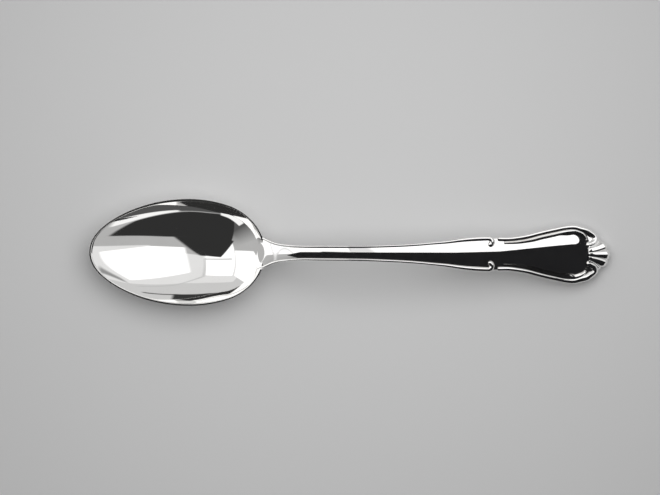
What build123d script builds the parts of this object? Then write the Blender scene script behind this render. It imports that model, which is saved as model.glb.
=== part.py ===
from build123d import *
from math import cos, radians, sin, sqrt
import os

# Teaspoon lying on a table: +X from the bowl's tip to the handle's end, +Z up, table at z = 0, millimetres.

# Bowl
bowl_length = 47.2      # outside, along the rim
bowl_width = 28.7       # outside, across the rim at its widest
bowl_depth = 8.0        # rim ends down to the lowest point outside
bowl_deepest = 26.6     # lowest point, measured from the tip
bowl_floor = 1.2        # metal under the lowest point inside
rim_width = 0.7         # width of the rim seen from above
rim_sheer = 0.6         # dip of the rim between its two ends
heel_bend = 10.2        # where the underside turns up more steeply, ahead of the heel
heel_rise = 1.4         # how far it has risen there

# Lengths of the handle, one after another from the heel of the bowl
neck_length = 9.5       # heel to the narrow stem
stem_length = 37.5      # narrow stem to where it begins to spread
swell_length = 12.1     # spreading stem to the scrolled shoulder
waist_length = 5.2      # shoulder to the waist
blade_length = 18.4     # waist to the widest point
corner_length = 7.0     # widest point to the end of the border
shell_reach = 3.1       # end of the border to the end of the shell

# Half-widths of the handle, seen from above
heel_half = 3.6
neck_half = 2.45
stem_half = 1.92
swell_half = 3.25
shoulder_half = 4.65
waist_half = 4.38
blade_half = 7.70
corner_half = 4.2

# Arch of the handle
crest_rise = 7.0        # crest of the top line above the rim

# Thickness of the metal along the handle
root_thickness = 1.47   # where the underside runs out under the bowl
neck_thickness = 2.6
stem_thickness = 3.0
shoulder_thickness = 2.5
blade_thickness = 2.1
end_thickness = 1.9
rest_trim = 0.37        # underside dressed flat at its end, where it rests on the table

# Radius of the crowned top across the handle, and of its underside
heel_crown = 18.0
stem_crown = 5.0
swell_crown = 10.0
shoulder_crown = 18.0
blade_crown = 36.0
stem_back = 6.0
blade_back = 80.0

# Drop under the heel of the bowl
drop_thickness = 0.9
drop_length = 9.5
drop_half = 4.0
flare_run = 1.4         # flare of the neck, carried on under the rim

# Raised borders
thread_radius = 0.32    # thread at the neck and along the stem
curl_radius = 0.80      # rounded end of the thread, curled in at the shoulder
curl_depth = 2.3        # middle of the curl's end, in from the shoulder's edge
border_radius = 0.55    # outer border of the blade
inner_radius = 0.30     # thin thread inside that border
border_gap = 0.14       # groove between the border and the thread
bulb_radius = 0.72      # rounded end of the border, curled in beside the shell
bulb_depth = 2.6        # end of that curl, back from the end of the border
overhang = 0.12         # borders stand this far outside the blade's edge

# Sections that shape the rounded forms
front_rounds = 8        # bowl, from its tip to its lowest point
floor_rounds = 4        # lowest point to where it turns up
rise_rounds = 6         # from there to the heel
section_count = 18      # handle
ring_count = 20         # each bead
bead_sides = 8
rib_sides = 12
end_turn = 31.0         # degrees round a bead's end between its closing rings
border_crowd = 1.6      # rings of the outer border lie closer towards its tight curl

# Shell
rib_pairs = 2           # ribs on each side of the middle one
rib_spread = 26.0       # degrees between neighbouring ribs
rib_root = 0.45
rib_step = 0.65         # between neighbouring ribs at their roots
rib_end = 1.25
rib_rise = 0.45         # ribs stand this far above the blade
rib_fall = 0.55         # each rib is this much shorter than its inner neighbour
shell_length = 6.3      # middle rib
back_step = 0.1         # shell's underside stands this far above the blade's

# Places that follow from the sizes above
stem_run = neck_length + stem_length + swell_length
handle_length = stem_run + waist_length + blade_length + corner_length + shell_reach
overall_length = bowl_length + handle_length
tip_x = -overall_length / 2
heel_x = tip_x + bowl_length
neck_x = heel_x + neck_length
crest_x = neck_x + stem_length * 0.37
swell_x = neck_x + stem_length
shoulder_x = swell_x + swell_length
waist_x = shoulder_x + waist_length
widest_x = waist_x + blade_length
corner_x = widest_x + corner_length
end_x = corner_x + shell_reach
rim_z = bowl_depth
crest_z = rim_z + crest_rise
spare = 0.8             # struck form beyond the finished outline
reach = overall_length


def bowl_profile(inset, lift):
    # Underside of the bowl along its middle as (x, z) arcs, moved in from the outline and up from the bottom
    low = rim_z - bowl_depth + lift
    deepest_x = tip_x + bowl_deepest
    bend_z = low + heel_rise * (rim_z - low) / bowl_depth
    with BuildLine():
        front = TangentArc((deepest_x, low), (tip_x + inset, rim_z), tangent=(-1, 0))
        floor = TangentArc((deepest_x, low), (heel_x - heel_bend, bend_z), tangent=(1, 0))
        rise = TangentArc(floor @ 1, (heel_x - inset, rim_z), tangent=floor % 1)
    return [front, floor, rise]


def bowl_form(inset, lift):
    # Round cross-sections about a level axis, their lowest points spaced along that profile
    half = bowl_width / 2 - inset
    depth = bowl_depth - lift
    axis_z = rim_z + (half**2 + rim_sheer**2 - depth**2) / (2 * (depth - rim_sheer))
    front, floor, rise = bowl_profile(inset, lift)
    lows = [front @ (1 - i / front_rounds) for i in range(front_rounds)]
    lows += [floor @ (i / floor_rounds) for i in range(floor_rounds)]
    lows += [rise @ (i / rise_rounds) for i in range(rise_rounds + 1)]
    rounds = []
    for low in lows:
        with BuildSketch(Plane.YZ.offset(low.X)) as cut:
            with Locations((0, axis_z)):
                Circle(axis_z - low.Y)
        rounds.append(cut.sketch)
    with BuildPart() as form:
        loft(rounds)
    return form.part


bowl_outside = bowl_form(0, 0)

with BuildPart() as above_rim:
    with BuildSketch(Plane.XZ):
        with BuildLine():
            rim = ThreePointArc(
                (tip_x, rim_z),
                ((tip_x + heel_x) / 2, rim_z - rim_sheer),
                (heel_x, rim_z),
            )
            Polyline(
                rim @ 1,
                (heel_x + spare, rim_z),
                (heel_x + spare, rim_z + reach),
                (tip_x - spare, rim_z + reach),
                (tip_x - spare, rim_z),
                rim @ 0,
            )
        make_face()
    extrude(amount=bowl_width, both=True)

with BuildPart() as bowl:
    add(bowl_outside)
    add(bowl_form(rim_width, bowl_floor), mode=Mode.SUBTRACT)
    add(above_rim.part, mode=Mode.SUBTRACT)
bowl.part.label = "bowl"


# Where the handle's underside runs out into the drop, under the bowl
root = bowl_profile(0, 0)[2] @ 0.45
root_x = root.X
root_half = drop_half * 0.85


def between(x, places, values):
    # Value at x on straight runs between named places
    for i in range(len(places) - 1):
        if x <= places[i + 1]:
            break
    share = (x - places[i]) / (places[i + 1] - places[i])
    return values[i] + (values[i + 1] - values[i]) * share


def top_z(x):
    # Arched top line of the handle, level at its crest, resting on the table at its end
    if x < crest_x:
        return crest_z - crest_rise * ((crest_x - x) / (crest_x - heel_x)) ** 2
    u = (x - crest_x) / (end_x - crest_x)
    return crest_z - (crest_z - end_thickness + rest_trim) * u**2 * (1.5 - 0.5 * u)


def section(x):
    # Crowned cross-section of the handle in a plane across X
    places = [root_x, heel_x, neck_x, swell_x, shoulder_x, widest_x, end_x]
    halves = [root_half, heel_half, stem_half, swell_half, shoulder_half, blade_half, blade_half]
    crowns = [blade_crown, heel_crown, stem_crown, swell_crown, shoulder_crown, blade_crown, blade_crown]
    backs = [blade_crown, heel_crown, stem_back, swell_crown, blade_crown, blade_back, blade_back]
    half = spare + between(x, places, halves)
    crown = between(x, places, crowns)
    back = between(x, places, backs)
    thickness = between(
        x,
        places,
        [
            root_thickness,
            neck_thickness,
            stem_thickness,
            stem_thickness,
            shoulder_thickness,
            blade_thickness,
            end_thickness,
        ],
    )
    top = top_z(x)
    top_edge = top - (crown - sqrt(crown**2 - half**2))
    low = top - thickness
    low_edge = low + (back - sqrt(back**2 - half**2))
    with BuildSketch(Plane.YZ.offset(x)) as cut:
        with BuildLine():
            ThreePointArc((-half, top_edge), (0, top), (half, top_edge))
            Line((half, top_edge), (half, low_edge))
            ThreePointArc((half, low_edge), (0, low), (-half, low_edge))
            Line((-half, low_edge), (-half, top_edge))
        make_face()
    return cut.sketch


# Arched and crowned form of the handle before its outline is cut
with BuildPart() as struck:
    loft([section(root_x + (end_x - root_x) * i / section_count) for i in range(section_count + 1)])

# Outline of one side of the plain handle, just inside the raised borders
with BuildLine():
    heel_edge = Spline(
        (root_x, root_half),
        (heel_x - flare_run, heel_half + flare_run * 0.65),
        (heel_x, heel_half - overhang),
        tangents=[(1, 0), (1, -0.8)],
        tangent_scalars=[1, 1],
    )
    stem_edge = Spline(
        heel_edge @ 1,
        (heel_x + neck_length * 0.42, neck_half - overhang),
        (neck_x, stem_half - overhang),
        (crest_x, stem_half - overhang),
        (swell_x, swell_half - overhang),
        (shoulder_x, shoulder_half - overhang),
        tangents=[(1, -0.8), (1, 0)],
        tangent_scalars=[1, 1],
    )
    waist_edge = Spline(
        stem_edge @ 1,
        (waist_x, waist_half - overhang),
        tangents=[(1, 0), (1, 0)],
        tangent_scalars=[1, 1],
    )
    blade_edge = Spline(
        waist_edge @ 1,
        ((waist_x + widest_x) / 2, (waist_half + blade_half) / 2 - overhang),
        (widest_x, blade_half - overhang),
        (corner_x - overhang, corner_half - overhang),
        tangents=[(1, 0), (1, -3)],
        tangent_scalars=[1, 1],
    )

# Drop: a rounded tongue of the handle that laps under the heel of the bowl
with BuildPart() as drop:
    with BuildSketch():
        with BuildLine():
            tongue = ThreePointArc(
                (heel_x - drop_length + drop_half, drop_half),
                (heel_x - drop_length, 0),
                (heel_x - drop_length + drop_half, -drop_half),
            )
            Polyline(tongue @ 1, (heel_x, -heel_half), (heel_x, heel_half), tongue @ 0)
        make_face()
    extrude(amount=reach)
    add(bowl_form(-drop_thickness, -drop_thickness), mode=Mode.INTERSECT)
    add(bowl_outside, mode=Mode.SUBTRACT)
    add(above_rim.part, mode=Mode.SUBTRACT)

# Plain handle cut to its outline, with the drop
with BuildPart() as handle:
    with BuildSketch():
        with BuildLine():
            add([heel_edge, stem_edge, waist_edge, blade_edge])
            Polyline(blade_edge @ 1, (corner_x - overhang, 0), (root_x, 0), heel_edge @ 0)
        make_face()
        mirror(about=Plane.XZ)
    extrude(amount=reach)
    add(struck.part, mode=Mode.INTERSECT)
    add(bowl_outside, mode=Mode.SUBTRACT)
    add(drop.part)
handle.part.label = "handle"


def ring(place, way, size, sides):
    # Many-sided section of a bead or rib, square to its way
    with BuildSketch(Plane(place, x_dir=(0, 0, 1), z_dir=way)) as cut:
        RegularPolygon(size, sides)
    return cut.sketch


def rounded_end(place, way, ahead, size, sides):
    # Rings that close in towards an end, ahead (1) or behind (-1)
    turns = [radians(end_turn * i) for i in range(3)]
    return [ring(place + way * (ahead * size * sin(turn)), way, size * cos(turn), sides) for turn in turns]


def bead(points, last_tangent, radius, ends, crowd=1):
    # Round bead laid on the crowned top along a plan line: radius(t) is its size at t, ends are rounded off
    # Rings lie closer towards the far end where crowd is over 1
    with BuildLine() as plan:
        Spline(*points, tangents=[points[1] - points[0], last_tangent], tangent_scalars=[1, 1])
    path = plan.edges()[0].project_to_shape(struck.part, (0, 0, 1)).sort_by(Axis.Z)[-1]
    places = [1 - (1 - i / ring_count) ** crowd for i in range(ring_count + 1)]
    with BuildPart() as tube:
        loft([ring(path @ t, path % t, radius(t), bead_sides) for t in places])
        for t in ends:
            loft(rounded_end(path @ t, path % t, 2 * t - 1, radius(t), bead_sides), ruled=True)
    return tube.part


def inside(edge, t, depth):
    # Point on an outline, moved towards the middle of the handle
    along = edge % t
    return edge @ t + Vector(along.Y, -along.X) * (depth - overhang)


def thread_size(t):
    return thread_radius + (curl_radius - thread_radius) * t**4


thread_points = [inside(stem_edge, i / 14, thread_size(i / 14)) for i in range(15)]
curl_end = Vector(shoulder_x + curl_radius * 2, shoulder_half - curl_depth)
with BuildPart() as stem_scroll_left:
    add(bead(thread_points + [curl_end], (-0.3, -1), thread_size, [0, 1]))
    add(handle.part, mode=Mode.SUBTRACT)
    add(bowl_outside, mode=Mode.SUBTRACT)
stem_scroll_left.part.label = "stem_scroll_left"


def border_size(t):
    return border_radius + (bulb_radius - border_radius) * t**8


def inner_size(t):
    return inner_radius


# Outer border follows the blade's edge, then curls in beside the shell; the inner one runs beside it
first = [inside(waist_edge, 0.68, border_radius)]
outer_points = first + [inside(blade_edge, i / 10 - 0.05, border_radius) for i in range(1, 11)]
bulb = Vector(corner_x - bulb_depth, corner_half - bulb_radius * 2)
turn = Vector(corner_x - border_radius * 2, (outer_points[-1].Y + bulb.Y) / 2)
with BuildPart() as tip_scroll_left:
    add(bead(outer_points + [turn, bulb], (-1, -0.3), border_size, [0, 1], border_crowd))
    add(handle.part, mode=Mode.SUBTRACT)
tip_scroll_left.part.label = "tip_scroll_left"

inner_depth = border_radius * 2 + border_gap + inner_radius
inner_points = [inside(blade_edge, i / 10, inner_depth) for i in range(1, 10)]
with BuildPart() as tip_thread_left:
    add(bead(inner_points, (1, -3), inner_size, [0, 1]))
    add(handle.part, mode=Mode.SUBTRACT)
tip_thread_left.part.label = "tip_thread_left"

with BuildPart() as stem_scroll_right:
    mirror(stem_scroll_left.part, about=Plane.XZ)
stem_scroll_right.part.label = "stem_scroll_right"
with BuildPart() as tip_scroll_right:
    mirror(tip_scroll_left.part, about=Plane.XZ)
tip_scroll_right.part.label = "tip_scroll_right"
with BuildPart() as tip_thread_right:
    mirror(tip_thread_left.part, about=Plane.XZ)
tip_thread_right.part.label = "tip_thread_right"

# Shell of spreading ribs over the end of the blade, flush with its underside
base_x = end_x - shell_length
with BuildPart() as shell_tip:
    for k in range(-rib_pairs, rib_pairs + 1):
        run = shell_length - rib_fall * abs(k) - rib_end
        x = base_x + run * cos(radians(rib_spread * k))
        base = Vector(base_x, rib_step * k, top_z(base_x) + rib_rise - rib_root)
        tip = Vector(x, run * sin(radians(rib_spread * k)), top_z(x) + rib_rise - rib_end)
        way = (tip - base).normalized()
        rings = rounded_end(base, way, -1, rib_root, rib_sides)[::-1]
        rings += rounded_end(tip, way, 1, rib_end, rib_sides)
        loft(rings, ruled=True)
    fall = top_z(base_x) - top_z(end_x)
    split(bisect_by=Plane((end_x, 0, back_step - rest_trim), z_dir=(fall, 0, shell_length)), keep=Keep.TOP)
    split(bisect_by=Plane.XY, keep=Keep.TOP)
    add(handle.part, mode=Mode.SUBTRACT)
    add(tip_scroll_left.part, mode=Mode.SUBTRACT)
    add(tip_scroll_right.part, mode=Mode.SUBTRACT)
shell_tip.part.label = "shell_tip"

os.makedirs("parts", exist_ok=True)
for name, piece in (
    ("bowl", bowl),
    ("handle", handle),
    ("stem_scroll_left", stem_scroll_left),
    ("stem_scroll_right", stem_scroll_right),
    ("tip_scroll_left", tip_scroll_left),
    ("tip_scroll_right", tip_scroll_right),
    ("tip_thread_left", tip_thread_left),
    ("tip_thread_right", tip_thread_right),
    ("shell_tip", shell_tip),
):
    export_step(piece.part, "parts/" + name + ".step")
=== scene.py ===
from math import asin, copysign, cos, exp, hypot, pi, radians, sin, sqrt

import bmesh
import bpy
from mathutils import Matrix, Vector
from mathutils.geometry import interpolate_bezier


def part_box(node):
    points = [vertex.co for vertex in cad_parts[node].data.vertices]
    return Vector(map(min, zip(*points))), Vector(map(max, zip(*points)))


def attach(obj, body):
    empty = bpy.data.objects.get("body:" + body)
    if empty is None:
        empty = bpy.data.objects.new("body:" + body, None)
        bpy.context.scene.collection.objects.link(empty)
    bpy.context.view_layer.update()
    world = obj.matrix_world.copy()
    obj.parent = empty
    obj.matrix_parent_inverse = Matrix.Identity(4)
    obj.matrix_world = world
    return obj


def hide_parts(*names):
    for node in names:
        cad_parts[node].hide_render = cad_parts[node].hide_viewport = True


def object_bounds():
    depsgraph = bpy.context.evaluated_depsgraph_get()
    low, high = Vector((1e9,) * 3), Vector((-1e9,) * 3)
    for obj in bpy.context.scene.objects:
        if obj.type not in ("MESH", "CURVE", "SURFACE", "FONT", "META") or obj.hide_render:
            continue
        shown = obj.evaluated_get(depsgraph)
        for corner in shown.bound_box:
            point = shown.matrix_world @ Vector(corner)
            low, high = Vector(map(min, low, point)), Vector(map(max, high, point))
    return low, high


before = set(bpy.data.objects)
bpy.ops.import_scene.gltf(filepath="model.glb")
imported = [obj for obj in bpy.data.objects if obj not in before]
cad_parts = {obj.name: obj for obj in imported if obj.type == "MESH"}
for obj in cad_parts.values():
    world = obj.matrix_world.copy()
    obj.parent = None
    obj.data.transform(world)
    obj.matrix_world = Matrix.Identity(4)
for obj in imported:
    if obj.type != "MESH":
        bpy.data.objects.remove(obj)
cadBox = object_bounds()
mm = 0.001  # shapes are worked out in millimetres, and scaled once each mesh is made
floorGap = 0.02  # mm, borders and shell come no nearer the floor
print("frame loaded:", sorted(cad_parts))

bowlLow, bowlHigh = [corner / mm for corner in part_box("bowl")]
tipX, heelX, rimZ = bowlLow.x, bowlHigh.x, bowlHigh.z
bowlHalf = bowlHigh.y * 0.999  # just inside the CAD outline
endX = cadBox[1].x / mm


def ease(value):
    # 0 to 1 with level ends
    value = min(1, max(0, value))
    return value * value * (3 - 2 * value)


def swell(t, span):
    # eased from 0 to 1 over a span, given as its start and its length
    start, length = span
    return ease((t - start) / length)


def along(x, stops):
    # smooth value at x through (place, value) stops, with no overshoot
    if x <= stops[0][0]:
        return stops[0][1]
    if x >= stops[-1][0]:
        return stops[-1][1]
    i = max(k for k in range(len(stops) - 1) if stops[k][0] <= x)
    slopes = [(b[1] - a[1]) / (b[0] - a[0]) for a, b in zip(stops, stops[1:])]

    def tangent(k):
        if k == 0 or k == len(stops) - 1:
            return slopes[0 if k == 0 else -1]
        before, after = slopes[k - 1], slopes[k]
        if before * after <= 0:
            return 0
        return 2 * before * after / (before + after)

    run = stops[i + 1][0] - stops[i][0]
    t = (x - stops[i][0]) / run
    low, high = stops[i][1], stops[i + 1][1]
    return (
        low * (1 + 2 * t) * (1 - t) ** 2
        + high * t * t * (3 - 2 * t)
        + run * tangent(i) * t * (1 - t) ** 2
        + run * tangent(i + 1) * t * t * (t - 1)
    )


def growLoop(bm, ring):
    # pull a loop of vertices out by one step, and give the new vertices in the same order
    members = set(ring)
    near = [e for v in ring for e in v.link_edges if e.other_vert(v) in members]
    edges = [e for e in dict.fromkeys(near) if e.is_boundary or e.is_wire]
    grown = bmesh.ops.extrude_edge_only(bm, edges=edges)["geom"]
    fresh = {item for item in grown if isinstance(item, bmesh.types.BMVert)}
    return [next(e.other_vert(v) for e in v.link_edges if e.other_vert(v) in fresh) for v in ring]


def placeLoop(ring, points):
    for vert, point in zip(ring, points):
        vert.co = point


def skinLoops(bm, loops):
    # skin a run of closed sections, with a point at both ends
    ring = bmesh.ops.create_circle(bm, segments=len(loops[0]), radius=1)["verts"]
    placeLoop(ring, loops[0])
    first = ring
    for points in loops[1:]:
        ring = growLoop(bm, ring)
        placeLoop(ring, points)
    for capped in (first, ring):
        cap = growLoop(bm, capped)
        middle = sum((v.co for v in cap), Vector()) / len(cap)
        bmesh.ops.pointmerge(bm, verts=cap, merge_co=middle)


def finishPiece(name, bm, material, hollowAt=None):
    # close, turn outwards, scale to metres and hang on the frame in place of the node of the same name
    bmesh.ops.remove_doubles(bm, verts=bm.verts, dist=1e-5)
    hollow = bm.verts.layers.float.new("hollow")
    for vert in bm.verts:
        vert[hollow] = hollowAt(vert.co) if hollowAt else 0
    bmesh.ops.recalc_face_normals(bm, faces=bm.faces)
    bmesh.ops.scale(bm, vec=(mm, mm, mm), verts=bm.verts)
    for face in bm.faces:
        face.smooth = True
    mesh = bpy.data.meshes.new(name)
    bm.to_mesh(mesh)
    bm.free()
    piece = bpy.data.objects.new(name + "_finished", mesh)
    bpy.context.scene.collection.objects.link(piece)
    mesh.materials.append(material)
    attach(piece, "root")
    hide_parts(name)
    print("piece", piece.name, len(mesh.polygons), "faces")


# Materials

class Wire:
    def __init__(self, tree, socket=None):
        self.tree = tree
        self.socket = socket

    def node(self, kind, settings=None, sockets=None, output=0):
        made = self.tree.nodes.new(kind)
        for name, value in (settings or {}).items():
            if name == "stops":
                for stop, (place, tone) in zip(made.color_ramp.elements, value):
                    stop.position = place
                    stop.color = (tone, tone, tone, 1)
            else:
                setattr(made, name, value)
        for name, value in (sockets or {}).items():
            if isinstance(value, Wire):
                self.tree.links.new(value.socket, made.inputs[name])
            else:
                made.inputs[name].default_value = value
        return Wire(self.tree, made.outputs[output])

    def math(self, operation, first, second):
        return self.node("ShaderNodeMath", {"operation": operation}, {0: first, 1: second})

    def __add__(self, other):
        return self.math("ADD", self, other)

    def __rsub__(self, other):
        return self.math("SUBTRACT", other, self)

    def __mul__(self, other):
        return self.math("MULTIPLY", self, other)

    __radd__ = __add__
    __rmul__ = __mul__


silverLook = {
    "tint": (0.955, 0.95, 0.94, 1),
    "duller": (0.90, 0.89, 0.875, 1),
    # colour of the shade painted into the creases at the foot of the borders
    "paintedGrooveShade": (0.33, 0.31, 0.29, 1),
    "gloss": 0.018,      # roughness of the clean polish
    "haze": 0.035,       # added where it has been handled
    "hairWidth": 0.05,   # mm, across a polishing line
    "hairLength": 4.0,   # mm
    "hairDepth": 0.0006,
    "hairStrength": 0.25,
    "hairHaze": 0.012,
    "smears": 0.12,      # handled patches to a mm
    "smearFrom": 0.45,   # noise level where a patch begins, and where it is full
    "smearTo": 0.75,
    "smearDull": 0.5,
    "specks": 0.9,       # fine specks to a mm
    "speckDull": 0.3,
    "grooveShadeStrength": 0.55,  # painted shade at the foot of the borders
    "grooveSpecks": 0.5,
    "grooveHaze": 0.12,
}


def polishedSilver(name, hairsAlongX):
    material = bpy.data.materials.new(name)
    material.use_nodes = True
    tree = material.node_tree
    shader = tree.nodes["Principled BSDF"]
    start = Wire(tree)
    place = start.node("ShaderNodeTexCoord", output="Object")
    across = 1 / (silverLook["hairWidth"] * mm)
    lengthwise = 1 / (silverLook["hairLength"] * mm)
    stretch = (lengthwise, across, across) if hairsAlongX else (across, lengthwise, across)
    hairPlace = start.node("ShaderNodeVectorMath", {"operation": "MULTIPLY"}, {0: place, 1: stretch})
    hairs = start.node("ShaderNodeTexNoise", None, {"Vector": hairPlace, "Scale": 1, "Detail": 2})
    smearScale, speckScale = silverLook["smears"] / mm, silverLook["specks"] / mm
    smears = start.node("ShaderNodeTexNoise", None, {"Vector": place, "Scale": smearScale, "Detail": 4})
    specks = start.node("ShaderNodeTexNoise", None, {"Vector": place, "Scale": speckScale, "Detail": 3})
    stops = [(silverLook["smearFrom"], 0), (silverLook["smearTo"], 1)]
    handled = start.node("ShaderNodeValToRGB", {"stops": stops}, {"Fac": smears})
    hollow = start.node("ShaderNodeAttribute", {"attribute_name": "hollow"}, output="Fac")
    dullness = handled * silverLook["smearDull"] + specks * silverLook["speckDull"]
    # painted shade: the foot of each border is darkened and speckled, where shade falls in the crease
    paintedGrooveShade = hollow * (silverLook["grooveShadeStrength"] + specks * silverLook["grooveSpecks"])
    worn = start.node(
        "ShaderNodeMix",
        {"data_type": "RGBA"},
        {0: dullness, 6: silverLook["tint"], 7: silverLook["duller"]},
        output=2,
    )
    # base colour, with the painted shade mixed in at the foot of the borders
    colour = start.node(
        "ShaderNodeMix",
        {"data_type": "RGBA"},
        {0: paintedGrooveShade, 6: worn, 7: silverLook["paintedGrooveShade"]},
        output=2,
    )
    haze = handled * silverLook["haze"] + hairs * silverLook["hairHaze"] + hollow * silverLook["grooveHaze"]
    roughness = haze + silverLook["gloss"]
    relief = start.node(
        "ShaderNodeBump",
        None,
        {"Height": hairs, "Strength": silverLook["hairStrength"], "Distance": silverLook["hairDepth"] * mm},
    )
    tree.links.new(colour.socket, shader.inputs["Base Color"])
    tree.links.new(roughness.socket, shader.inputs["Roughness"])
    tree.links.new(relief.socket, shader.inputs["Normal"])
    shader.inputs["Metallic"].default_value = 1
    return material


bowlSilver = polishedSilver("bowlSilver", False)
handleSilver = polishedSilver("handleSilver", True)
print("materials made")

# Bowl: an egg-shaped shell, its keel of three arcs, its sections round about a level axis

bowlShape = {
    "rimWidth": 0.7,
    "floorMetal": 1.2,
    "sheer": 0.3,         # dip of the rim between its ends
    "deepestAt": 26.6,    # from the tip, outside
    "hollowAt": 31.2,     # deepest point inside
    "heelBend": 10.2,     # ahead of the heel, where the keel turns up
    "heelRise": 1.4,
    "tipBlunt": 0.10,     # fuller outline close to the tip
    "tipRun": 2.5,
    "rimRise": 0.12,      # flat top of the rim over its rounded edges
    "rimInner": 0.30,     # share of the rim's width rounded on its inner side
    "rimOuter": 0.08,
    "rimGuard": 0.02,     # narrow bands that keep the shading of the flat top flat
    "heelSink": 0.35,     # edge let into the neck, over this half width and this run ahead of the heel
    "sinkHalf": 4.6,
    "sinkRun": 2.2,
    "sinkFade": 1.2,
    "cells": 150,
}


def archLine(low, lowX, edgeX):
    # arc that is level at its lowest point and meets the rim at edgeX
    rise = rimZ - low
    radius = ((edgeX - lowX) ** 2 + rise**2) / (2 * rise)
    return lambda x: low + radius - sqrt(max(0, radius**2 - (x - lowX) ** 2))


def keelLine(start, end, low):
    # lowest line of the bowl's outside: three arcs in one smooth run
    deepest = tipX + bowlShape["deepestAt"]
    bendX = heelX - bowlShape["heelBend"]
    bendRise = bowlShape["heelRise"] * (rimZ - low) / rimZ
    front = archLine(low, deepest, start)
    floorRadius = ((bendX - deepest) ** 2 + bendRise**2) / (2 * bendRise)
    bendAngle = asin((bendX - deepest) / floorRadius)
    upward = Vector((-sin(bendAngle), cos(bendAngle)))
    toHeel = Vector((end - bendX, rimZ - low - bendRise))
    heelRadius = toHeel.length_squared / (2 * toHeel.dot(upward))
    heelCentre = Vector((bendX, low + bendRise)) + upward * heelRadius

    def keel(x):
        if x < deepest:
            return front(x)
        if x < bendX:
            return low + floorRadius - sqrt(floorRadius**2 - (x - deepest) ** 2)
        return heelCentre.y - sqrt(max(0, heelRadius**2 - (x - heelCentre.x) ** 2))

    return keel


def bowlSurface(inset, low, deepest=None):
    # outline from the outside's keel; the inside has a keel of its own, deepest nearer the heel
    start, end = tipX + inset, heelX - inset
    half, depth, sheer = bowlHalf - inset, rimZ - low, bowlShape["sheer"]
    axisZ = rimZ + (half**2 + sheer**2 - depth**2) / (2 * (depth - sheer))
    plan = keelLine(start, end, low)
    keel = plan
    if deepest is not None:
        front, back = archLine(low, deepest, start), archLine(low, deepest, end)
        keel = lambda x: front(x) if x < deepest else back(x)

    def edge(x):
        share = (2 * x - start - end) / (end - start)
        return rimZ - sheer * (1 - share**2)

    def halfWidth(x):
        fuller = 1 + bowlShape["tipBlunt"] * exp((start - x) / bowlShape["tipRun"])
        return fuller * sqrt(max(0, (axisZ - plan(x)) ** 2 - (axisZ - edge(x)) ** 2))

    def height(x, y):
        # round section through both edges and the keel
        depthHere = edge(x) - keel(x)
        if depthHere < 1e-6:
            return edge(x)
        radius = (halfWidth(x) ** 2 + depthHere**2) / (2 * depthHere)
        return keel(x) + radius - sqrt(max(0, radius**2 - y * y))

    return {"start": start, "end": end, "keel": keel, "height": height, "halfWidth": halfWidth}


outside = bowlSurface(0, 0)
inside = bowlSurface(bowlShape["rimWidth"], bowlShape["floorMetal"], tipX + bowlShape["hollowAt"])


def layEgg(bm, surface):
    # a square grid rounded into the egg's outline, so that no seam or pole lies in the mirror
    cells = bowlShape["cells"]
    verts = bmesh.ops.create_grid(bm, x_segments=cells, y_segments=cells, size=1)["verts"]
    middle = (surface["start"] + surface["end"]) / 2
    reach = (surface["end"] - surface["start"]) / 2
    for vert in verts:
        a, b = vert.co.x, vert.co.y
        u = a * sqrt(1 - b * b / 2)
        v = b * sqrt(1 - a * a / 2)
        x = middle + u * reach
        share = v / sqrt(1 - u * u) if abs(u) < 0.999999 else 0
        y = surface["halfWidth"](x) * share
        vert.co = (x, y, surface["height"](x, y))
    return verts


def rimProfile():
    # (share of the rim's width, height) from its inner edge to its outer one: rounded, flat, rounded
    rise, inner, outer = bowlShape["rimRise"], bowlShape["rimInner"], bowlShape["rimOuter"]
    guard, innerSteps, outerSteps = bowlShape["rimGuard"], 5, 4
    profile = []
    for i in range(1, innerSteps + 1):
        profile.append((inner * i / innerSteps, rise * (1 - (1 - i / innerSteps) ** 2)))
    profile += [(inner + guard, rise), (1 - outer - guard, rise), (1 - outer, rise)]
    for i in range(1, outerSteps + 1):
        turn = pi / 2 * i / outerSteps
        profile.append((1 - outer + outer * sin(turn), rise * cos(turn)))
    return profile


def makeBowl():
    bm = bmesh.new()
    outer = layEgg(bm, outside)
    inner = layEgg(bm, inside)
    partner = dict(zip(inner, outer))
    ring = [v for v in inner if v.is_boundary]
    starts = [v.co.copy() for v in ring]
    ends = [partner[v].co.copy() for v in ring]
    for share, lift in rimProfile():
        ring = growLoop(bm, ring)
        placeLoop(ring, [a.lerp(b, share) + Vector((0, 0, lift)) for a, b in zip(starts, ends)])
    for vert in bm.verts:
        aside = ease((bowlShape["sinkHalf"] - abs(vert.co.y)) / bowlShape["sinkFade"])
        ahead = ease((vert.co.x - heelX + bowlShape["sinkRun"]) / bowlShape["sinkFade"])
        vert.co.z -= bowlShape["heelSink"] * (aside * ahead)
    finishPiece("bowl", bm, bowlSilver)


makeBowl()

# Handle: arched, crowned, spread into a blade

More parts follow.
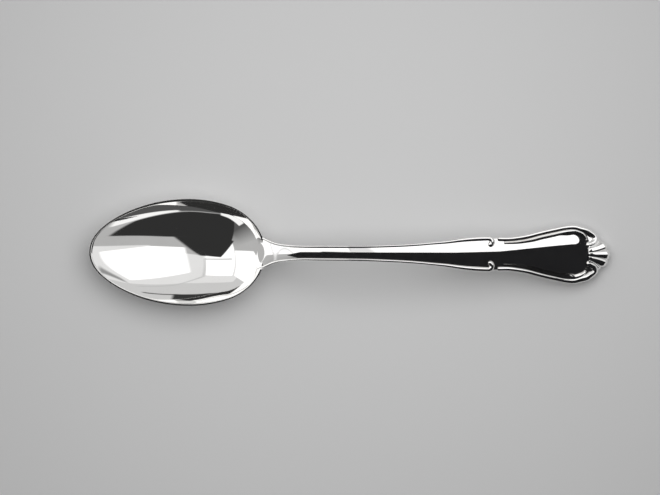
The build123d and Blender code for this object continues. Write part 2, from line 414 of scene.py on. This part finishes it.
handleShape = {
    "neck": 9.5, "stem": 37.5, "swell": 12.1, "waist": 5.2, "blade": 18.4, "corner": 7.0,
    "crestShare": 0.37,   # of the stem, from the neck
    "crestRise": 7.0,     # above the rim
    "endThickness": 1.9,
    "restTrim": 0.37,
    "overhang": 0.12,     # borders stand this far outside the plain edge
    "dropLength": 9.5,
    "dropThickness": 0.9,
    "dropSwell": (-0.4, 2.0),   # from the drop's end, where it thickens
    "dropJoin": (-6, 4),        # from the heel, where the drop turns into the stem's back
    "lap": 0.5,           # lift of the neck's top where it runs into the bowl
    "lapRun": 3,
    "lipReach": 2,        # from the heel, where the neck and the bowl blend
    "lipRounding": 0.6,
    "wallAnchor": 1.5,    # ahead of the heel, where the bowl's section is carried on from
    "wallSkin": 0.004,    # the neck's top over the bowl's inside
    "buryFrom": 2.4,      # ahead of the heel, where it sinks under that surface
    "burySlope": 0.03,
    "buryCurve": 0.1,
    "buryMost": 0.5,
    "edgeRounding": 0.45,
    "roundingWide": 0.4,  # most of the half width and of the thickness that the rounding takes
    "roundingHigh": 0.45,
    "stations": 300,
    "crowding": 0.09,     # stations stand closer along the stem
    "firstStation": 0.02,  # from the drop's end
}
neckX = heelX + handleShape["neck"]
crestX = neckX + handleShape["stem"] * handleShape["crestShare"]
swellX = neckX + handleShape["stem"]
shoulderX = swellX + handleShape["swell"]
waistX = shoulderX + handleShape["waist"]
widestX = waistX + handleShape["blade"]
cornerX = widestX + handleShape["corner"]
crestZ = rimZ + handleShape["crestRise"]
dropX = heelX - handleShape["dropLength"]

edgeStops = [  # half the width of the outline
    (dropX, 0.4),
    (dropX + 0.35, 1.7),
    (dropX + 1.5, 3.2),
    (dropX + 4.0, 4.0),
    (heelX - 2.6, 4.5),
    (heelX - 1.4, 4.45),
    (heelX, 3.6),
    (heelX + 2.2, 2.82),
    (heelX + 4.0, 2.45),
    (heelX + 6.5, 2.1),
    (neckX, 1.92),
    (crestX, 1.95),
    (crestX + 12.8, 2.35),
    (swellX, 3.25),
    (swellX + 8.0, 4.42),
    (shoulderX, 4.65),
    (waistX - 2.6, 4.42),
    (waistX, 4.38),
    (waistX + 4.1, 4.83),
    (waistX + 10.8, 6.43),
    (widestX, 7.70),
    (widestX + 2.9, 7.30),
    (widestX + 4.8, 6.40),
    (widestX + 6.4, 4.90),
    (cornerX, 4.2),
]
crownStops = [  # radius of the top across the handle
    (heelX - 3, 30), (heelX, 18), (neckX, 5), (crestX, 5),
    (swellX, 10), (shoulderX, 18), (widestX, 36), (endX, 36),
]
backStops = [(heelX, 18), (neckX, 6), (swellX, 10), (shoulderX, 36), (widestX, 80), (endX, 80)]
thicknessStops = [
    (heelX - 5, 2.2), (heelX, 2.6), (neckX, 3.0), (swellX, 3.0),
    (shoulderX, 2.5), (widestX, 2.1), (endX, 1.9),
]


def edgeHalf(x):
    return along(x, edgeStops)


def topLine(x):
    # arched along the stem, level at its crest, down to the floor at its end
    if x < crestX:
        return crestZ - handleShape["crestRise"] * ((crestX - x) / (crestX - heelX)) ** 2
    u = (x - crestX) / (endX - crestX)
    return crestZ - (crestZ - handleShape["endThickness"] + handleShape["restTrim"]) * u * u * (1.5 - 0.5 * u)


def crownFall(radius, y):
    return radius - sqrt(max(0, radius**2 - y * y))


def bowlWall(x, y):
    # inside of the bowl, carried on past its rim at the heel
    anchor = min(x, heelX - handleShape["wallAnchor"])
    return inside["keel"](x) + inside["height"](anchor, y) - inside["keel"](anchor)


def handleTop(x, y):
    lift = handleShape["lap"] * exp(-(((x - heelX) / handleShape["lapRun"]) ** 2))
    neckTop = topLine(x) + lift - crownFall(along(x, crownStops), y)
    if x > heelX + handleShape["lipReach"]:
        return neckTop
    buried = max(0, heelX - handleShape["buryFrom"] - x)
    sunk = handleShape["burySlope"] * buried + handleShape["buryCurve"] * buried**2
    bowlTop = bowlWall(x, y) + handleShape["wallSkin"] - min(handleShape["buryMost"], sunk)
    spread = handleShape["lipRounding"]
    share = min(1, max(0, 0.5 + (bowlTop - neckTop) / (2 * spread)))
    return bowlTop + (neckTop - bowlTop) * share - spread * share * (1 - share)


def handleBack(x, y):
    plain = topLine(x) - along(x, thicknessStops) + crownFall(along(x, backStops), y)
    joinStart, joinLength = handleShape["dropJoin"]
    if x > heelX + joinStart + joinLength:
        return plain
    drop = outside["height"](x, y) - handleShape["dropThickness"] * swell(x - dropX, handleShape["dropSwell"])
    return drop + (plain - drop) * swell(x - heelX, handleShape["dropJoin"])


def handleSection(x):
    half = edgeHalf(x) - handleShape["overhang"]
    corner = min(handleShape["edgeRounding"], half * handleShape["roundingWide"])
    flat = half - corner
    topCount, sideCount, backCount = 40, 5, 24
    points = []
    for i in range(topCount + 1):
        y = flat * (1 - 2 * i / topCount)
        points.append(Vector((x, y, handleTop(x, y))))
    for side in (-1, 1):
        y = side * flat
        top, back = handleTop(x, y), handleBack(x, y)
        radius = min(corner, (top - back) * handleShape["roundingHigh"])
        bend = []
        for i in range(1, sideCount + 1):
            turn = pi / 2 * i / sideCount
            bend.append(Vector((x, y + side * corner * sin(turn), top - radius * (1 - cos(turn)))))
        for i in range(sideCount):
            turn = pi / 2 * i / sideCount
            bend.append(Vector((x, y + side * corner * cos(turn), back + radius * (1 - sin(turn)))))
        if side < 0:
            points += bend
            for i in range(backCount + 1):
                y = flat * (2 * i / backCount - 1)
                points.append(Vector((x, y, handleBack(x, y))))
        else:
            points += reversed(bend)
    return points


def makeHandle():
    bm = bmesh.new()
    first, last = dropX + handleShape["firstStation"], cornerX - handleShape["overhang"]
    count = handleShape["stations"]
    loops = []
    for i in range(count + 1):
        t = i / count
        share = t + handleShape["crowding"] * sin(2 * pi * t) / pi
        loops.append(handleSection(first + (last - first) * share))
    skinLoops(bm, loops)
    finishPiece("handle", bm, handleSilver)


makeHandle()

# Raised borders: beads laid along the handle's edges
# Spreads widen a bead's inner slope; spans, where it swells or closes, are shares of its length

beadShape = {
    "sides": 20, "step": 0.16, "curveSteps": 24, "endSteps": 4, "grooveDepth": 0.28, "slopeReach": 0.05,
}
threadShape = {
    "radius": 0.32, "spread": 1.25, "start": 1.2, "points": 16, "straightShare": 0.96,
    "swellShare": 0.55, "swellSpan": (0.70, 0.26), "curlSpan": (0.955, 0.035), "closeSpan": (0.9, 0.08),
    "curlRadius": 0.80, "curlTurn": 0.9, "curlAngle": 150, "curlPoints": 5, "curlAhead": 0.5,
    "curlDip": 0.10, "dipFrom": 1, "dipTo": 2.6,
}
borderShape = {
    "radius": 0.40, "spread": 1.9, "start": 2.0, "points": 8, "straightShare": 0.62,
    "cornerRadius": 0.72, "cornerSpan": (0.55, 0.28), "cornerShares": (0.3, 0.55, 0.75, 0.9),
    "bulbRadius": 0.92, "bulbSpan": (0.9, 0.08), "closeSpan": (0.84, 0.12),
    "bulbBack": 2.7, "bulbIn": 2.55, "bulbBow": (0.55, -0.15, 0),
}
innerShape = {
    "radius": 0.42, "spread": 9.0, "scoop": 3.4, "outerWidth": 0.45, "start": 0.5, "points": 6, "drift": 2.8,
    "low": 0.16, "gain": 0.18, "gainRun": 0.5, "scoopGain": 0.66, "scoopSpan": (0.62, 0.2),
    "least": 0.14, "fade": 0.08, "cornerShares": (0.2, 0.4, 0.6, 0.75),
}


def smoothLine(points, step):
    # plan points joined by a smooth curve, then spaced evenly
    fine = []
    for i in range(len(points) - 1):
        before = points[max(0, i - 1)]
        after = points[min(len(points) - 1, i + 2)]
        a, b = points[i], points[i + 1]
        reach = (b - a).length / 3
        outward = (b - before).normalized() * reach
        inward = (after - a).normalized() * reach
        fine += interpolate_bezier(a, a + outward, b - inward, b, beadShape["curveSteps"])[:-1]
    fine.append(points[-1])
    lengths = [0]
    for a, b in zip(fine, fine[1:]):
        lengths.append(lengths[-1] + (b - a).length)
    count = int(lengths[-1] / step)
    even, k = [], 0
    for i in range(count + 1):
        want = lengths[-1] * i / count
        while k < len(fine) - 2 and lengths[k + 1] < want:
            k += 1
        even.append(fine[k].lerp(fine[k + 1], (want - lengths[k]) / max(1e-9, lengths[k + 1] - lengths[k])))
    return even


def edgePoint(x, depth):
    # a plan point inside the outline by that depth, square to the edge
    near = beadShape["slopeReach"]
    slope = (edgeHalf(x + near) - edgeHalf(x - near)) / (2 * near)
    size = hypot(1, slope)
    inward = depth - handleShape["overhang"]
    return Vector((x + slope / size * inward, edgeHalf(x) - inward / size, 0))


def beadTop(x, y):
    # beads lie on the crowned top, but the curls at the shoulder dip towards the middle
    plain = handleTop(x, y)
    outerY = edgeHalf(shoulderX) - threadShape["curlRadius"]
    if not shoulderX - threadShape["dipFrom"] < x < waistX - threadShape["dipTo"]:
        return plain
    return min(plain, handleTop(x, outerY) - threadShape["curlDip"] * max(0, outerY - y))


def beadLoops(line, radius, spread, side):
    # sections square to the line, round or with a straight inner slope, rounded off at both ends
    centres = [Vector((p.x, p.y, beadTop(p.x, p.y))) for p in line]
    count = len(centres)
    loops = []

    def ring(i, shift, share):
        t = i / (count - 1)
        size = radius(t) * share
        inner, outer, straight = spread(t)
        ahead = centres[min(count - 1, i + 1)] - centres[max(0, i - 1)]
        ahead.normalize()
        inward = ahead.cross(Vector((0, 0, 1))).normalized()
        upward = inward.cross(ahead)
        middle = centres[i] + ahead * (radius(t) * shift)
        loop = []
        for k in range(beadShape["sides"]):
            turn = 2 * pi * k / beadShape["sides"]
            wide = inner if cos(turn) > 0 else outer
            rise = sin(turn)
            if straight and cos(turn) > 0:
                rise = copysign(1 - cos(turn), rise)
            point = middle + inward * size * wide * cos(turn) + upward * size * rise
            loop.append(Vector((point.x, side * point.y, max(floorGap, point.z))))
        return loop

    steps = beadShape["endSteps"]
    closing = [pi / 2 * k / (steps + 0.5) for k in range(1, steps + 1)]
    for turn in reversed(closing):
        loops.append(ring(0, -sin(turn), cos(turn)))
    for i in range(count):
        loops.append(ring(i, 0, 1))
    for turn in closing:
        loops.append(ring(count - 1, sin(turn), cos(turn)))
    return loops


def groove(place):
    # 1 at the foot of a bead, fading out up its side; the painted shade and the haze of the grooves follow it
    return 1 - ease((place.z - handleTop(place.x, place.y)) / beadShape["grooveDepth"])


def makeBead(name, line, radius, spread):
    for word, side in (("left", 1), ("right", -1)):
        bm = bmesh.new()
        skinLoops(bm, beadLoops(line, radius, spread, side))
        finishPiece(name + "_" + word, bm, handleSilver, groove)


def threadSize(t):
    # swells towards the shoulder, and again in the curl
    share = threadShape["swellShare"]
    growth = share * swell(t, threadShape["swellSpan"]) + (1 - share) * swell(t, threadShape["curlSpan"])
    return threadShape["radius"] + (threadShape["curlRadius"] - threadShape["radius"]) * growth


def threadSpread(t):
    # inner and outer width to the radius, and whether the inner slope is straight
    inner = threadShape["spread"] + (1 - threadShape["spread"]) * swell(t, threadShape["closeSpan"])
    return inner, 1, False


def stemThread():
    run, curlRun = threadShape["points"], threadShape["curlPoints"]
    first, turnX = heelX - threadShape["start"], shoulderX + threadShape["curlAhead"]
    points = []
    for i in range(run + 1):
        size = threadSize(threadShape["straightShare"] * i / run)
        points.append(edgePoint(first + (turnX - first) * i / run, size))
    bend = threadShape["curlTurn"]
    last = points[-1]
    for i in range(1, curlRun + 1):
        turn = radians(threadShape["curlAngle"]) * i / curlRun
        points.append(Vector((last.x + bend * sin(turn), last.y - bend * (1 - cos(turn)), 0)))
    return smoothLine(points, beadShape["step"])


def borderSize(t):
    plain, corner, bulb = borderShape["radius"], borderShape["cornerRadius"], borderShape["bulbRadius"]
    size = plain + (corner - plain) * swell(t, borderShape["cornerSpan"])
    return size + (bulb - corner) * swell(t, borderShape["bulbSpan"])


def borderSpread(t):
    inner = borderShape["spread"] + (1 - borderShape["spread"]) * swell(t, borderShape["closeSpan"])
    return inner, 1, False


def tipBorder():
    points, run = [], borderShape["points"]
    first = waistX - borderShape["start"]
    for i in range(run + 1):
        x = first + (widestX - first) * i / run
        points.append(edgePoint(x, borderSize(borderShape["straightShare"] * i / run)))
    for share in borderShape["cornerShares"]:
        points.append(edgePoint(widestX + handleShape["corner"] * share, borderShape["cornerRadius"]))
    bulb = Vector((cornerX - borderShape["bulbBack"], borderShape["bulbIn"], 0))
    points.append((points[-1] + bulb) / 2 + Vector(borderShape["bulbBow"]))
    points.append(bulb)
    return smoothLine(points, beadShape["step"])


def innerSize(t):
    # low along the blade, high round the corner, tapered away at both ends
    gain = innerShape["gain"] * min(1, t / innerShape["gainRun"])
    rise = innerShape["low"] + gain + innerShape["scoopGain"] * swell(t, innerShape["scoopSpan"])
    return innerShape["radius"] * max(innerShape["least"], rise * ease((1 - t) / innerShape["fade"]))


def innerSpread(t):
    # its inner slope is long and straight, and steepens into a scoop at the corner
    plain, scoop = innerShape["spread"], innerShape["scoop"]
    inner = plain + (scoop - plain) * swell(t, innerShape["scoopSpan"])
    return inner, max(1, innerShape["outerWidth"] / innerSize(t)), True


def innerThread():
    # beside the border along the blade, drifting inwards round the corner
    depth = innerShape["radius"] + borderShape["radius"] * (1 + borderShape["spread"])
    first, run = waistX - innerShape["start"], innerShape["points"]
    points = [edgePoint(first + (widestX - first) * i / run, depth) for i in range(run + 1)]
    for share in innerShape["cornerShares"]:
        x = widestX + handleShape["corner"] * share
        points.append(edgePoint(x, depth + innerShape["drift"] * share**2))
    return smoothLine(points, beadShape["step"])


makeBead("stem_scroll", stemThread(), threadSize, threadSpread)
makeBead("tip_scroll", tipBorder(), borderSize, borderSpread)
makeBead("tip_thread", innerThread(), innerSize, innerSpread)

# Shell: five ribs that spread from a broad base over the blade's end

shellShape = {
    "length": 6.3, "ribs": 5, "baseStep": 1.0, "baseBow": 0.04,
    "fan": 5.6, "spread": 32, "fall": 0.18,     # ribs fan out about a point this far from the end
    "bendAlong": 0.55, "bendAside": 0.25,       # share of a rib's run where it bends outwards
    "rise": 1.0, "domeFall": 0.8, "lobe": 0.45,
    "baseDepth": 0.06, "edgeDepth": 0.85, "depthPower": 1.6,    # grooves between the ribs
    "nose": 0.14, "roll": 0.16, "underside": 0.1, "lowest": 0.12,
    "turns": 140, "radial": 30,
}


def shellPoint(rib, t, dome):
    # plan point on the line of one rib, from the base (t = 0) to the scalloped edge (t = 1)
    baseX = endX - shellShape["length"] + shellShape["baseBow"] * rib**2
    base = Vector((baseX, shellShape["baseStep"] * rib))
    turn = radians(shellShape["spread"] * rib)
    reach = shellShape["fan"] - shellShape["fall"] * rib**2 - shellShape["lobe"] * (1 - dome)
    edge = Vector((endX - shellShape["fan"] + reach * cos(turn), reach * sin(turn)))
    bendX = base.x + shellShape["bendAlong"] * (edge.x - base.x)
    bend = Vector((bendX, base.y + shellShape["bendAside"] * (edge.y - base.y)))
    return base * (1 - t) ** 2 + bend * 2 * t * (1 - t) + edge * t * t


def shellLoop(rib):
    limit = (shellShape["ribs"] - 1) / 2
    nearest = max(-limit, min(limit, round(rib)))
    dome = sqrt(max(0, 1 - (2 * (rib - nearest)) ** 2))
    count, lowest = shellShape["radial"], shellShape["lowest"]
    baseDepth, depthGain = shellShape["baseDepth"], shellShape["edgeDepth"] - shellShape["baseDepth"]
    top, under = [], []
    for i in range(count + 1):
        t = sin(pi / 2 * i / count)
        place = shellPoint(rib, t, dome)
        plate = handleTop(place.x, place.y)
        depth = baseDepth + depthGain * t ** shellShape["depthPower"]
        nose = sqrt(max(0, 1 - max(0, 1 - t / shellShape["nose"]) ** 2))
        rise = shellShape["rise"] - shellShape["domeFall"] * (rib / limit) ** 2 * t
        crest = plate + (rise - depth * (1 - dome)) * nose
        roll = max(0, t - 1 + shellShape["roll"]) / shellShape["roll"]
        top.append(Vector((place.x, place.y, lowest + (crest - lowest) * sqrt(max(0, 1 - roll**2)))))
        back = handleBack(place.x, place.y) + shellShape["underside"]
        under.append(Vector((place.x, place.y, max(floorGap, back))))
    return top + under[-2:0:-1]


def makeShell():
    bm = bmesh.new()
    limit = shellShape["ribs"] / 2
    loops = []
    for i in range(shellShape["turns"] + 1):
        loops.append(shellLoop(limit * (2 * i / shellShape["turns"] - 1)))
    skinLoops(bm, loops)
    finishPiece("shell_tip", bm, handleSilver)


makeShell()

# Floor, light and camera

stageShape = {
    "floorSize": 1.6,
    "floorTint": (0.80, 0.80, 0.80, 1),
    "flagTint": (0.012, 0.012, 0.014, 1),
    "dullness": 0.9,          # roughness of the floor and the flags
    "frameWidth": 176.5,      # mm across the picture at the rim's height
    "lens": 200,
    "sensor": 36,
    "centre": (-5.56, 1.5),   # mm, middle of the picture
    "roll": 0.3,              # degrees
}


def plainMaterial(name, colour):
    material = bpy.data.materials.new(name)
    material.use_nodes = True
    shader = material.node_tree.nodes["Principled BSDF"]
    shader.inputs["Base Color"].default_value = colour
    shader.inputs["Roughness"].default_value = stageShape["dullness"]
    return material


def stagePiece(name, bm, material):
    mesh = bpy.data.meshes.new(name)
    bm.to_mesh(mesh)
    bm.free()
    piece = bpy.data.objects.new(name, mesh)
    bpy.context.scene.collection.objects.link(piece)
    mesh.materials.append(material)
    return piece


def makeFloor():
    bm = bmesh.new()
    bmesh.ops.create_grid(bm, x_segments=1, y_segments=1, size=stageShape["floorSize"] / 2)
    stagePiece("floor", bm, plainMaterial("paleFloor", stageShape["floorTint"]))


makeFloor()

# Black flags that only the polish sees: one low over the handle darkens its lower half, one stands in front

flagShape = {
    "over": [
        (-30, -60), (-30, -16), (-40, -5), (-30, 2.6), (36, 1.5), (52, 2.3), (79, 7.4),
        (80.6, 7.7), (81.6, 8.6), (82, 10.5), (82, 12.2), (81.4, 14), (79.6, 15.6), (79, 16.5),
        (85, 16.5), (86.5, 0.5), (118, 0.5), (118, -60),
    ],
    "height": 32,
    "frontFrom": 0,
    "frontTo": 118,
    "frontY": -60,
}


def makeFlag(name, points):
    bm = bmesh.new()
    ring = bmesh.ops.create_circle(bm, cap_ends=True, segments=len(points), radius=1)["verts"]
    placeLoop(ring, points)
    bmesh.ops.scale(bm, vec=(mm, mm, mm), verts=bm.verts)
    flag = stagePiece(name, bm, blackCloth)
    flag.visible_camera = False
    flag.visible_diffuse = False
    flag.visible_shadow = False
    flag.visible_transmission = False


blackCloth = plainMaterial("blackCloth", stageShape["flagTint"])
makeFlag("overFlag", [Vector((x, y, flagShape["height"])) for x, y in flagShape["over"]])
left, right, top = flagShape["frontFrom"], flagShape["frontTo"], flagShape["height"]
front = [(left, 0), (right, 0), (right, top), (left, top)]
makeFlag("frontFlag", [Vector((x, flagShape["frontY"], z)) for x, z in front])

# Studio light: a pale cloth tent, open and dark in front, told by compass bearing and height in degrees
# Bearing 0 is +X, 90 is the back (+Y), -90 the front; each panel lies over those before it

tentPanels = [
    # back wall and roof cloth
    {"tone": 0.62, "corners": [(35, 0), (145, 0), (151, 39), (30, 49)]},
    {"tone": 0.80, "corners": [(-6, 20), (61, 24), (86, 36), (86, 60), (-29, 65)]},
    {"tone": 0.80, "corners": [(84, 62), (84, 36), (127, 18), (177, 27), (-179, 56)]},
    {"tone": 0.80, "corners": [(50, 58), (105, 56), (120, 82), (15, 83)]},
    # large lit panel, with seams and folds of the cloth beside it
    {"tone": 1.25, "corners": [(0, 47), (-26, 66), (-50, 79), (84, 55), (60, 31)]},
    {"tone": 0.30, "corners": [(33, 40), (44, 33), (62, 25), (57, 30)]},
    {"tone": 0.50, "corners": [(67, 23), (81, 32), (81, 31), (67, 22)]},
    {"tone": 0.50, "corners": [(81, 32), (94, 47), (95, 46), (81, 31)]},
    # second lit panel, with a seam beside it and one across it
    {"tone": 1.25, "corners": [(102, 84), (95, 48), (133, 29), (-157, 45)]},
    {"tone": 0.50, "corners": [(100, 80), (95, 47), (93.6, 47), (97, 80)]},
    {"tone": 0.55, "corners": [(98, 79), (165, 48), (162, 47), (97, 77)]},
    # lit side wall and the dim corner next to it
    {"tone": 1.20, "corners": [(-175, 45), (135, 27), (137, 0), (168, 1), (-178, 12)]},
    {"tone": 0.10, "soft": 0.22, "corners": [(-110, 45), (-110, -10), (-151, -10), (-151, 45)]},
    # low grey skirt in front and its lit edge
    {"tone": 0.085, "corners": [(-57, 21), (-88, 14.5), (-112, 4), (-122, -6), (-122, -15), (-57, -15)]},
    {"tone": 1.00, "corners": [(-52, 29), (-64, 27), (-74, 22.5), (-86, 17), (-86, 13), (-61, 18)]},
    # dark opening in front and dark card overhead
    {
        "tone": 0.03,
        "corners": [(-38, 41), (-64, 27), (-89, 15), (-112, 6.5), (-126, 14), (-152, 45), (-61, 60)],
    },
    {"tone": 0.03, "corners": [(-62, 59.5), (-5, 86.8), (78, 84), (159, 65), (-153, 41)]},
    # small lit card, and a dark gap low at the back
    {"tone": 1.00, "corners": [(-109, 10), (-108, 1), (-136, 4), (-135, 15)]},
    {"tone": 0.04, "corners": [(84, 13.8), (90, 12.8), (117, 0), (112, -8), (86, -8)]},
    {"tone": 0.04, "corners": [(72, 13.2), (86, 13.8), (86, 12.2), (73, 11.5)]},
]
tentShape = {
    "sides": 0.47,      # where no panel lies
    "edge": 0.012,      # softness of a panel's edge
    "seen": 0.56,       # plain tone behind the floor
    "onFloor": 0.47,    # share of the tent's light that falls on the floor
}
skylight = {"place": (0, 0.04, 0.18), "size": (0.22, 0.22), "watts": 0.195}


def compass(bearing, height):
    flat = cos(radians(height))
    return Vector((flat * cos(radians(bearing)), flat * sin(radians(bearing)), sin(radians(height))))


def panelMask(direction, corners, soft):
    # 1 inside the panel, 0 outside, fading over its soft edge
    points = [compass(*corner) for corner in corners]
    middle = sum(points, Vector())
    mask = None
    for a, b in zip(points, points[1:] + points[:1]):
        inward = a.cross(b).normalized()
        if inward.dot(middle) < 0:
            inward.negate()
        dot = {"operation": "DOT_PRODUCT"}
        side = direction.node("ShaderNodeVectorMath", dot, {0: direction, 1: inward}, "Value")
        fade = {"Value": side, "From Min": -soft, "From Max": soft}
        step = direction.node("ShaderNodeMapRange", {"clamp": True}, fade)
        mask = step if mask is None else mask * step
    return mask


def makeTent():
    world = bpy.data.worlds.new("tent")
    bpy.context.scene.world = world
    world.use_nodes = True
    tree = world.node_tree
    start = Wire(tree)
    direction = start.node("ShaderNodeTexCoord", output="Generated")
    tone = tentShape["sides"]
    for panel in tentPanels:
        mask = panelMask(direction, panel["corners"], panel.get("soft", tentShape["edge"]))
        tone = tone + (panel["tone"] - tone) * mask
    seen = start.node("ShaderNodeLightPath", output="Is Camera Ray")
    mirrored = start.node("ShaderNodeLightPath", output="Is Glossy Ray")
    lit = tone * (tentShape["onFloor"] + mirrored * (1 - tentShape["onFloor"]))
    strength = lit + (tentShape["seen"] - lit) * seen
    background = tree.nodes["Background"]
    background.inputs["Color"].default_value = (1, 1, 1, 1)
    tree.links.new(strength.socket, background.inputs["Strength"])


def makeSkylight():
    # soft light from above, a little behind, which the polish doesn't see
    lamp = bpy.data.lights.new("skylight", "AREA")
    lamp.shape = "RECTANGLE"
    lamp.size, lamp.size_y = skylight["size"]
    lamp.energy = skylight["watts"]
    lampObject = bpy.data.objects.new("skylight", lamp)
    bpy.context.scene.collection.objects.link(lampObject)
    lampObject.location = skylight["place"]
    lampObject.rotation_euler = Vector(skylight["place"]).to_track_quat("Z", "Y").to_euler()
    lampObject.visible_glossy = False
    lampObject.visible_camera = False


makeTent()
makeSkylight()
print("light set")

camera = bpy.data.cameras.new("camera")
camera.lens = stageShape["lens"]
camera.sensor_width = stageShape["sensor"]
cameraObject = bpy.data.objects.new("camera", camera)
bpy.context.scene.collection.objects.link(cameraObject)
distance = stageShape["frameWidth"] * stageShape["lens"] / stageShape["sensor"]
cameraObject.location = Vector((stageShape["centre"][0], stageShape["centre"][1], rimZ + distance)) * mm
cameraObject.rotation_euler = (0, 0, radians(stageShape["roll"]))
camera.clip_start = 0.01
bpy.context.scene.camera = cameraObject
bpy.context.scene.view_settings.view_transform = "Standard"
print("stage set")
